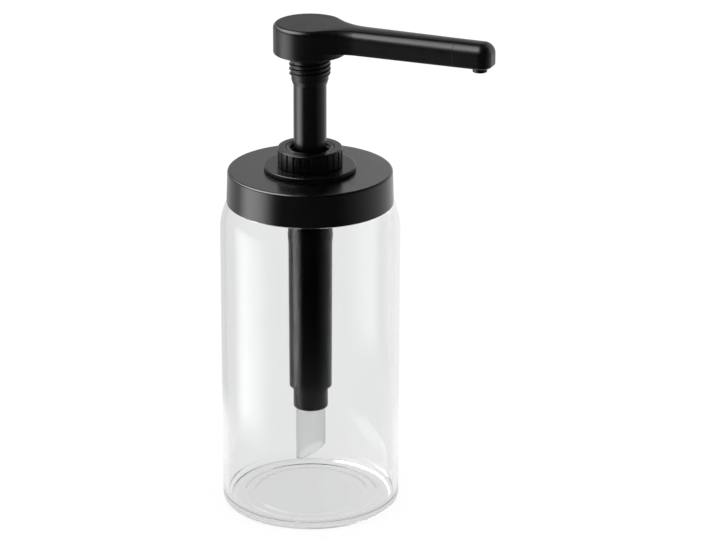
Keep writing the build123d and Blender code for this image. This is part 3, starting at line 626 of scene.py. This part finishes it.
def collar_grid(sizes):
    """Grid of the ribbed collar: a turned nut whose outside is cut by grip grooves. Each groove is a
    circle of radius g let in by the depth d, so at a distance s from its middle it cuts
    sqrt(g^2 - s^2) - (g - d) deep. The grooves run out smoothly below the upper rim."""
    radius = sizes.collar / MM
    groove = sizes.groove / MM
    depth = sizes.groove_depth / MM
    steps_per_groove = 28
    steps = sizes.grooves * steps_per_groove
    low, rim, top = 199.5, 208.6, 209.6
    lip, hole, inside = radius - 0.35, 13.5, 16.5
    under = top - 1.4
    outline = refine(soften([
        (radius, low, 0.2), (radius, rim, 0.12), (lip, rim + 0.3, 0.15), (lip, top, 0.3),
        (hole, top, 0.2), (hole, under, 0.1), (inside, under, 0.1), (inside, low, 0.1)], 6), 0.8)
    grid = lathe(outline, steps)
    first_groove = math.radians(8.2)
    angle = around(steps) - first_groove
    spacing = FULL_TURN / sizes.grooves
    aside = np.abs((angle + spacing / 2) % spacing - spacing / 2) * radius
    cut = np.clip(np.sqrt(np.clip(groove ** 2 - aside ** 2, 0, None)) - (groove - depth), 0, None)
    fade = 1 - ramp_up(outline[:, 1], rim - 0.5, rim)
    outside = ramp_up(outline[:, 0], radius - 0.3, radius - 0.05)
    shrink = (fade * outside)[:, None] * cut[None, :]
    grid[..., :2] *= (1 - shrink / outline[:, 0][:, None])[..., None]
    return grid


class SYRUP_OT_collar(bpy.types.Operator):
    """Shapes the ribbed collar nut"""
    bl_idname = "syrup.collar"
    bl_label = "Collar nut"

    def execute(self, context):
        grid = collar_grid(context.scene.syrup_pump)
        collar = make_piece("collar_surface", [(grid, True, True)], sharp=40.0)
        place(collar, "collar", "pump_black", "collar_nut", finish="collar_black")
        return {"FINISHED"}


class SYRUP_OT_barrel(bpy.types.Operator):
    """Turns the pump's housing, cylinder and foot cap"""
    bl_idname = "syrup.barrel"
    bl_label = "Barrel"

    def execute(self, context):
        radius = context.scene.syrup_pump.barrel / MM
        head = soften([
            (13.1, 209.4, 0.25), (13.1, 207.6, 0.1), (15.1, 207.6, 0.1), (15.1, 206.3, 0.1),
            (13.3, 206.3, 0.1), (13.3, 195.0, 0.3), (12.4, 194.2, 0.3), (12.4, 160.6, 0.3),
            (12.2, 160.3, 0.05), (10.58, 160.3, 0), (10.58, 149.0, 0.2), (9.45, 149.0, 0.2),
            (9.45, 165.0, 0.1), (11.2, 165.0, 0.1), (11.2, 168.4, 0.1), (9.45, 168.4, 0.1),
            (9.45, 191.4, 0.2), (10.3, 192.4, 0.2), (10.3, 196.5, 0.1), (11.3, 197.0, 0.1),
            (11.3, 197.5, 0.05), (12.1, 197.5, 0.1), (12.1, 209.4, 0.25)], 5)
        cylinder = soften([
            (10.6, 160.3, 0.1), (12.2, 160.3, 0.05), (12.4, 160.0, 0.3), (12.6, 158.2, 1.5),
            (12.6, 157.0, 2.0), (12.25, 153.5, 2.0), (radius, 68.5, 0.45), (9.75, 68.5, 0.15),
            (9.75, 67.3, 0.15), (8.25, 67.3, 0.1), (8.25, 61.9, 0.2), (6.6, 61.9, 0.2),
            (6.6, 71.0, 0.2), (10.6, 71.0, 0.2)], 6)
        cap = soften([
            (9.75, 67.2, 0.25), (9.75, 55.8, 1.1), (8.33, 55.8, 0.15), (8.33, 60.2, 0.1),
            (3.5, 60.2, 0.1), (3.5, 61.8, 0.1), (8.3, 61.8, 0.1), (8.3, 67.2, 0.15)], 7)
        for name, outline, node in (("barrel_head_surface", head, "barrel_head"),
                                    ("cylinder_surface", cylinder, "pump_cylinder"),
                                    ("foot_cap_surface", cap, "foot_valve_cap")):
            piece = turned_piece(name, refine(outline, longest=4.0))
            place(piece, "lid_and_barrel", "pump_black", node)
        return {"FINISHED"}


def tube_grid(sizes):
    """Grid of the dip tube, whose foot is cut by a slanted plane. The plane's height at each point is
    middle + slope times the distance from the axis towards its upper side, and the wall's points are
    drawn down to it in proportion."""
    radius = sizes.tube / MM
    bore = sizes.tube_bore / MM
    top, low, middle, slope = 60.15, 20.0, 28.6, 0.59
    upper_side = math.radians(21.9)
    outline = soften([(radius, low, 0.25), (radius, top, 0.2), (bore, top, 0.2), (bore, low, 0.25)], 5)
    grid = lathe(refine(outline, longest=2.0))
    x, y, z = grid[..., 0], grid[..., 1], grid[..., 2]
    cut = middle + slope * (x * math.cos(upper_side) + y * math.sin(upper_side))
    grid[..., 2] = top - (top - z) * (top - cut) / (top - low)
    return grid


class SYRUP_OT_tube(bpy.types.Operator):
    """Draws the milky dip tube with its slanted end"""
    bl_idname = "syrup.tube"
    bl_label = "Dip tube"

    def execute(self, context):
        grid = tube_grid(context.scene.syrup_pump)
        tube = make_piece("tube_surface", [(grid, True, True)], sharp=50.0)
        place(tube, "lid_and_barrel", "tube_white", "dip_tube")
        return {"FINISHED"}


def coil_grid(radius, wire, coils, low, high):
    """Grid of a coil spring: the wire's circle, radius + w cos b out and w sin b up, is carried round
    the axis while it climbs evenly from low to high."""
    steps_per_coil, steps_round_wire = 48, 14
    t = np.linspace(0, 1, coils * steps_per_coil + 1)[:, None]
    b = around(steps_round_wire)
    climb = low + (high - low) * t
    return turned(radius + wire * np.cos(b), t * coils * FULL_TURN, climb + wire * np.sin(b))


class SYRUP_OT_spring(bpy.types.Operator):
    """Winds the return spring"""
    bl_idname = "syrup.spring"
    bl_label = "Return spring"

    def execute(self, context):
        sizes = context.scene.syrup_pump
        low_node, high_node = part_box("return_spring")
        wire = sizes.wire / MM
        grid = coil_grid(sizes.coil / MM, wire, sizes.coils,
                         low_node.z / MM + wire, high_node.z / MM - wire)
        spring = make_piece("spring_surface", [(grid, False, True)], sharp=60.0, close_holes=True)
        place(spring, "lid_and_barrel", "steel", "return_spring")
        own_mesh(spring)
        return {"FINISHED"}


class SYRUP_OT_stem(bpy.types.Operator):
    """Turns the hollow stem"""
    bl_idname = "syrup.stem"
    bl_label = "Stem"

    def execute(self, context):
        radius = context.scene.syrup_pump.stem / MM
        bore, low, high = 6.5, 148.8, 262.0
        outline = soften([(radius, low, 0.3), (radius, high, 0.3), (bore, high, 0.2), (bore, low, 0.2)], 5)
        stem = turned_piece("stem_surface", refine(outline, longest=6.0))
        place(stem, "head_and_spout", "pump_black", "stem_tube")
        return {"FINISHED"}


# ---------------------------------------------------------------- the pump head

# The spout's root width is measured this far from the pump's axis. The points next to the seam
# stand these steps from it, close enough to draw its rounded lips.
ROOT_AT = 28.0
SEAM_STEPS = np.array([0.0, 0.04, 0.09, 0.15, 0.22, 0.4])


def arm_slope(sizes):
    """Change of the spout's half width with each millimetre from its root to its end."""
    return (sizes.arm_tip - sizes.arm_root) / MM / (sizes.reach / MM - ROOT_AT)


def side_of_head(sizes, x_from, columns):
    """Upper side of the head seen from above, from the seam round to the knob's back: straight
    tapered side, concave sweep of the blend radius tangent to side and knob, then the knob's
    circle. Gives place and inward direction of each point, and its share of the lower rounding."""
    radius = sizes.knob / MM
    blend = sizes.blend / MM
    root = sizes.arm_root / MM
    slope = arm_slope(sizes)
    start = root - ROOT_AT * slope + blend * math.hypot(1, slope)
    a = 1 + slope ** 2
    b = 2 * slope * start
    c = start ** 2 - (radius + blend) ** 2
    centre_x = (-b + math.sqrt(b * b - 4 * a * c)) / (2 * a)
    centre_y = start + slope * centre_x
    meet = math.atan2(centre_y, centre_x)
    lean = math.atan(slope)
    touch_x = centre_x + blend * math.sin(lean)
    x1 = np.concatenate([x_from - SEAM_STEPS, np.linspace(x_from - 1.0, touch_x, columns[0])])
    p1 = np.stack([x1, root + slope * (x1 - ROOT_AT)], axis=1)
    sweep = np.linspace(-math.pi / 2 + lean, meet - math.pi, columns[1])[1:]
    p2 = arc_points(centre_x, centre_y, blend, sweep)
    p3 = arc_points(0, 0, radius, np.linspace(meet, math.pi, columns[2])[1:])
    points = np.concatenate([p1, p2, p3])
    inward = np.concatenate([np.tile((0.0, -1.0), (len(p1), 1)), arc_points(0, 0, 1, sweep),
                             -p3 / radius])
    under = np.concatenate([np.ones(len(p1)), np.linspace(1, 0, len(p2)), np.zeros(len(p3))])
    return points, inward, under


def side_of_tip(sizes, x_from, columns):
    """Upper side of the tip seen from above, from the seam to the middle of its end face: straight
    side, quarter circle, half the end. Gives the same three things as side_of_head."""
    reach = sizes.reach / MM
    corner = sizes.tip_edge / MM + 0.05
    slope = arm_slope(sizes)
    half = sizes.arm_tip / MM
    x1 = np.concatenate([x_from + SEAM_STEPS, np.linspace(x_from + 1.0, reach - corner, columns[0])])
    p1 = np.stack([x1, half + slope * (x1 - reach)], axis=1)
    sweep = np.linspace(math.pi / 2, 0, columns[1])[1:]
    p2 = arc_points(reach - corner, half - corner - slope * corner, corner, sweep)
    y3 = np.linspace(p2[-1][1], 0, columns[2])[1:]
    p3 = np.stack([np.full_like(y3, reach), y3], axis=1)
    points = np.concatenate([p1, p2, p3])
    inward = np.concatenate([np.tile((0.0, -1.0), (len(p1), 1)), -arc_points(0, 0, 1, sweep),
                             np.tile((-1.0, 0.0), (len(p3), 1))])
    return points, inward, np.ones(len(points))


def rounded_bar(sizes, side, spine_end, seam_x):
    """Closed bar with a slightly crowned top, a flat underside and rounded edges, one column of points
    for each point of its outline. The upper rounding grows from the knob to the tip. Down each column
    come the top, falling as the square of the distance from the middle line, the arc of the rounding,
    the wall, the lower quarter circle and the underside. At the seam the section shrinks by a
    quarter circle of the lip."""
    points, inward, under = side
    points = np.concatenate([points, points[::-1] * (1, -1)])
    inward = np.concatenate([inward, inward[::-1] * (1, -1)])
    under = np.concatenate([under, under[::-1]])
    top = sizes.top / MM
    base = sizes.arm_base / MM
    at = np.array([-30.0, 8.0, 18.0, ROOT_AT, 84.0, 110.0])
    edge = np.array([sizes.knob_edge, sizes.knob_edge, (sizes.knob_edge + sizes.arm_edge) / 2,
                     sizes.arm_edge, sizes.tip_edge, sizes.tip_edge]) / MM
    upper = np.interp(points[:, 0], at, edge)
    lower = under * sizes.under_edge / MM
    spine = np.stack([np.clip(points[:, 0], 0, spine_end), np.zeros(len(points))], axis=1)
    lean = sizes.crown * ramp_up(points[:, 0], 12.0, 34.0)
    rim = points + inward * (upper * (1 - np.sin(lean)))[:, None]
    drop = np.linalg.norm(rim - spine, axis=1) * np.tan(lean) / 2
    centre = top - drop - upper * np.cos(lean)
    rows = []
    heights = []
    for t in (0.0, 0.25, 0.5, 0.75, 0.9, 0.97):
        rows.append(spine + (rim - spine) * t)
        heights.append(top - drop * t * t)
    for t in np.linspace(0, 1, 19):
        a = (math.pi / 2 - lean) * (1 - t)
        rows.append(points + inward * (upper * (1 - np.cos(a)))[:, None])
        heights.append(centre + upper * np.sin(a))
    for t in (0.06, 0.5, 0.94):
        rows.append(points)
        heights.append(centre * (1 - t) + (base + lower) * t)
    for a in np.linspace(0, math.pi / 2, 8):
        rows.append(points + inward * (lower * (1 - math.cos(a)))[:, None])
        heights.append(base + lower * (1 - math.sin(a)))
    foot = points + inward * lower[:, None]
    for t in (0.05, 0.5, 1.0):
        rows.append(foot + (spine - foot) * t)
        heights.append(np.full(len(points), base))
    grid = np.concatenate([np.array(rows), np.array(heights)[..., None]], axis=2)
    lip = 0.18
    gap = np.clip(np.abs(grid[..., 0] - seam_x) / lip, 0, 1)
    shrink = lip * (1 - np.sqrt(1 - (1 - gap) ** 2))
    middle = (top + base) / 2
    grid[..., 1] *= 1 - shrink / (sizes.arm_tip / MM)
    grid[..., 2] = middle + (grid[..., 2] - middle) * (1 - shrink / ((top - base) / 2))
    return grid


def boss_grid():
    """Threaded boss below the knob with its stem socket: two-start ridge above a plain collar."""
    steps = 200
    begin = lathe(soften([(0, 262.2, 0), (9.12, 262.2, 0.1), (9.12, 246.0, 0.1), (9.5, 246.0, 0.15),
                          (10.2, 248.4, 0.2), (10.2, 250.4, 0)], 5), steps)
    top = 264.4
    wall = screw_wall(root=10.4, crest=11.4, low=250.5, high=top, step=0.11, steps=steps,
                      first=252.7, lead=5.1, starts=2, base=1.6, flat=0.5, begin=250.8, end=266.0,
                      turned_by=math.pi / 2)
    return np.concatenate([begin, wall, lathe(np.array([(0.0, top)]), steps)])


class SYRUP_OT_head(bpy.types.Operator):
    """Shapes the knob with its spout arm and threaded boss"""
    bl_idname = "syrup.head"
    bl_label = "Pump head"

    def execute(self, context):
        sizes = context.scene.syrup_head
        seam = sizes.seam / MM
        knob = sizes.knob / MM
        base = sizes.knob_base / MM
        arm_base = sizes.arm_base / MM
        arm = rounded_bar(sizes, side_of_head(sizes, seam, columns=(40, 36, 90)), math.inf, seam)
        outline = soften([(0, base, 0), (knob, base, 0.8), (knob, arm_base, 0), (0, arm_base, 0)], 8)
        drum = lathe(refine(outline, longest=3.0), steps=240)
        grids = [(arm, False, False), (drum, False, True), (boss_grid(), False, True)]
        head = make_piece("head_surface", grids, sharp=35.0, close_holes=True)
        place(head, "head_and_spout", "pump_black", "pump_head", finish="head_black")
        return {"FINISHED"}


class SYRUP_OT_tip(bpy.types.Operator):
    """Shapes the spout's tip with its nozzle"""
    bl_idname = "syrup.tip"
    bl_label = "Spout tip"

    def execute(self, context):
        sizes = context.scene.syrup_head
        hairline = 0.004
        seam = sizes.seam / MM + hairline
        spine_end = (sizes.reach - sizes.tip_edge) / MM - 0.3
        bar = rounded_bar(sizes, side_of_tip(sizes, seam, columns=(16, 22, 6)), spine_end, seam)
        radius, bore = sizes.nozzle / MM, 2.4
        mouth, inside, root = 263.8, 266.6, 268.0
        outline = soften([(0, inside, 0), (bore, inside, 0), (bore, mouth, 0.2),
                          (radius, mouth, 0.35), (radius, root, 0), (0, root, 0)], 6)
        nozzle = lathe(refine(outline, longest=2.0), steps=96)
        nozzle[..., 0] += sizes.nozzle_at / MM
        grids = [(bar, False, False), (nozzle, False, True)]
        tip = make_piece("tip_surface", grids, sharp=35.0, close_holes=True)
        place(tip, "head_and_spout", "pump_black", "spout_tip", finish="head_black")
        return {"FINISHED"}


class SYRUP_OT_inner(bpy.types.Operator):
    """Gives every part that keeps its CAD form its finish"""
    bl_idname = "syrup.inner"
    bl_label = "Inner parts"

    def execute(self, context):
        slots = {entry["node"]: entry["material_slot"] for entry in frame["record"]["subparts"]}
        for name, part in NODES.items():
            if part.hide_render:
                continue
            part.data.materials.clear()
            finish = "collar_black" if name == "neck_adapter" else slots[name]
            part.data.materials.append(material_for(finish))
        return {"FINISHED"}


# ---------------------------------------------------------------- the studio

def studio_light(tree, path, side_light, top_light):
    """Brightness of the studio in each direction, for what is mirrored in the parts: white walls
    behind, dark behind the camera, a tall soft light at the left that leans back along the wall,
    and a softer one overhead. Glass doesn't pass the leaning part on. Just above the horizon the
    light at the left is no brighter than a wall, so that flat tops stay dark from every side.
    Bearings are in degrees: 0 towards the camera, 90 to its right, -90 to its left, 180 behind the
    object. Heights are the sine of the angle above the horizon."""
    where = add(tree, "ShaderNodeTexCoord")
    to_camera = math.radians(68.1)
    toward = add(tree, "ShaderNodeMapping", Vector=where.outputs["Generated"], Rotation=(0, 0, to_camera))
    axes = add(tree, "ShaderNodeSeparateXYZ", Vector=toward.outputs["Vector"])
    near, right, height = axes.outputs["X"], axes.outputs["Y"], axes.outputs["Z"]
    bearing = value_of(tree, "DIVIDE", value_of(tree, "ARCTAN2", right, near), math.pi / 180)
    right_wall = step_between(tree, bearing, 32.0, 146.0, 0.01, 1.0)
    left_wall = step_between(tree, bearing, -135.0, -75.0, 0.7, 0.0)
    walls = product(tree, value_of(tree, "ADD", right_wall, left_wall),
                    step_between(tree, height, 0.30, 0.60, 1.0, 0.12))
    waist, lean_share = 0.23, 0.85
    column = value_of(tree, "ADD", step_between(tree, height, -0.08, 0.04, 1.0, waist),
                      step_between(tree, height, 0.38, 0.52, 0.0, 1.0 - waist))
    upright = product(tree, plateau(tree, bearing, (-118.0, -88.0), (-76.0, -46.0)), column,
                      step_between(tree, height, 0.68, 0.92, side_light, 0.0))
    direct = value_of(tree, "LESS_THAN", path.outputs["Transmission Depth"], 0.5)
    leaning = product(tree, plateau(tree, bearing, (-156.0, -140.0), (-112.0, -96.0)),
                      plateau(tree, height, (0.34, 0.46), (0.56, 0.72), lean_share * side_light),
                      direct)
    lamp = value_of(tree, "ADD", upright, leaning)
    up_share, left_share = 0.866, 0.5
    steep = value_of(tree, "SUBTRACT", product(tree, height, up_share), product(tree, right, left_share))
    overhead = product(tree, step_between(tree, steep, 0.80, 0.90),
                       step_between(tree, right, -0.36, -0.20, top_light, 0.0))
    return value_of(tree, "ADD", value_of(tree, "ADD", walls, lamp), overhead)


def light_world(settings):
    """White all round for the camera and for what is seen straight through the glass, an even light
    for the colours, and the studio's own bright and dark sides for everything mirrored."""
    world = bpy.data.worlds.new("studio_world")
    bpy.context.scene.world = world
    world.use_nodes = True
    world.cycles.sampling_method = "NONE"
    tree = world.node_tree
    tree.nodes.clear()
    path = add(tree, "ShaderNodeLightPath")
    studio = studio_light(tree, path, settings.side_light, settings.top_light)
    even_light = 0.95
    seen = add(tree, "ShaderNodeMix", Factor=bounced(tree, path, "Glossy", 1),
               A=settings.white, B=studio)
    whole = add(tree, "ShaderNodeMix", Factor=bounced(tree, path, "Diffuse", 1),
                A=seen.outputs["Result"], B=even_light)
    background = add(tree, "ShaderNodeBackground", Color=whole.outputs["Result"])
    add(tree, "ShaderNodeOutputWorld", Surface=background.outputs["Background"])


def floor_material():
    """Pale floor: white where the camera or the glass looks at it, keeping a soft shadow. Mirrored light
    finds a painted contact shade on it right beside the jar, where its glow is turned down to stand in for
    the shade at the jar's foot. Away from the jar mirrored light finds it clear, so that the parts mirror
    the studio. Distances from the jar's axis are in metres."""
    glow_strength, shaded_share = 1.06, 0.16
    material, tree = empty_material("pale_floor")
    path = add(tree, "ShaderNodeLightPath")
    where = add(tree, "ShaderNodeTexCoord")
    out = add(tree, "ShaderNodeVectorMath", operation="LENGTH", Vector=where.outputs["Object"])
    distance = out.outputs["Value"]
    mirrored = bounced(tree, path, "Glossy", 1)
    # painted shade: the glow that mirrors see is turned down in a ring right beside the jar's foot
    painted_contact_shade = step_between(tree, distance, 0.050, 0.064, 0.27, 0.0)
    away = step_between(tree, distance, 0.13, 0.20)
    glow = add(tree, "ShaderNodeEmission", Color=(1, 1, 1, 1), Strength=value_of(
        tree, "SUBTRACT", glow_strength, product(tree, mirrored, painted_contact_shade)))
    diffuse = add(tree, "ShaderNodeBsdfDiffuse", Color=(0.9, 0.9, 0.9, 1))
    diffuse_share = value_of(tree, "MULTIPLY_ADD", bounced(tree, path, "Diffuse", 1),
                             1.0 - shaded_share, shaded_share)
    seen = mixed(tree, diffuse_share, glow, diffuse)
    whole = mixed(tree, product(tree, mirrored, away), seen, add(tree, "ShaderNodeBsdfTransparent"))
    add(tree, "ShaderNodeOutputMaterial", Surface=whole.outputs["Shader"])
    return material


class SYRUP_OT_studio(bpy.types.Operator):
    """Sets up the floor, the light and the camera"""
    bl_idname = "syrup.studio"
    bl_label = "Studio"

    def execute(self, context):
        settings = context.scene.syrup_studio
        level = -0.05
        rings = (0.0, 200.0, settings.floor_radius / MM)
        disc = lathe(np.array([(ring, level) for ring in rings]), steps=96)
        floor = make_piece("studio_floor", [(disc, False, True)])
        floor.data.materials.append(floor_material())
        light_world(settings)
        camera = bpy.data.objects.new("camera", bpy.data.cameras.new("camera"))
        context.scene.collection.objects.link(camera)
        camera.data.lens = settings.lens
        camera.data.sensor_width = 36.0
        camera.data.clip_start = 0.05
        camera.data.clip_end = 20.0
        eye = (0.64499, -1.53334, 0.75989)
        right = Vector((0.92784, 0.37299, 0.0)).normalized()
        ahead = Vector((-0.34930, 0.86890, -0.35070)).normalized()
        up = right.cross(ahead).normalized()
        roll = 0.00304
        across = right * math.cos(roll) + up * math.sin(roll)
        upward = up * math.cos(roll) - right * math.sin(roll)
        turn = Matrix((across, upward, -ahead)).transposed()
        camera.matrix_world = Matrix.Translation(eye) @ turn.to_4x4()
        context.scene.camera = camera
        context.scene.view_settings.view_transform = "Standard"
        return {"FINISHED"}


class SYRUP_PT_panel(bpy.types.Panel):
    """Lists the pieces of the syrup pump dispenser"""
    bl_idname = "SYRUP_PT_panel"
    bl_label = "Syrup pump"
    bl_space_type = "VIEW_3D"
    bl_region_type = "UI"
    bl_category = "Syrup pump"

    def draw(self, context):
        for group in ("syrup_jar", "syrup_pump", "syrup_head", "syrup_finishes", "syrup_studio"):
            box = self.layout.box()
            settings = getattr(context.scene, group)
            for name in settings.__annotations__:
                box.prop(settings, name)
        for operator in OPERATORS:
            self.layout.operator(operator.bl_idname)


GROUPS = {
    "syrup_jar": SyrupJarSizes,
    "syrup_pump": SyrupPumpSizes,
    "syrup_head": SyrupHeadSizes,
    "syrup_finishes": SyrupFinishes,
    "syrup_studio": SyrupStudio,
}
OPERATORS = (SYRUP_OT_jar, SYRUP_OT_lid, SYRUP_OT_collar, SYRUP_OT_barrel, SYRUP_OT_tube,
             SYRUP_OT_spring, SYRUP_OT_stem, SYRUP_OT_head, SYRUP_OT_tip, SYRUP_OT_inner,
             SYRUP_OT_studio)


def register():
    """Registers the settings, the operators and the panel."""
    for name, group in GROUPS.items():
        bpy.utils.register_class(group)
        setattr(bpy.types.Scene, name, bpy.props.PointerProperty(type=group))
    for operator in OPERATORS:
        bpy.utils.register_class(operator)
    bpy.utils.register_class(SYRUP_PT_panel)


def unregister():
    """Takes away all that register added."""
    bpy.utils.unregister_class(SYRUP_PT_panel)
    for operator in reversed(OPERATORS):
        bpy.utils.unregister_class(operator)
    for name, group in GROUPS.items():
        delattr(bpy.types.Scene, name)
        bpy.utils.unregister_class(group)


def main():
    """Registers everything, then builds every piece in order."""
    register()
    for operator in OPERATORS:
        group, name = operator.bl_idname.split(".")
        getattr(getattr(bpy.ops, group), name)()


if __name__ == "__main__":
    main()
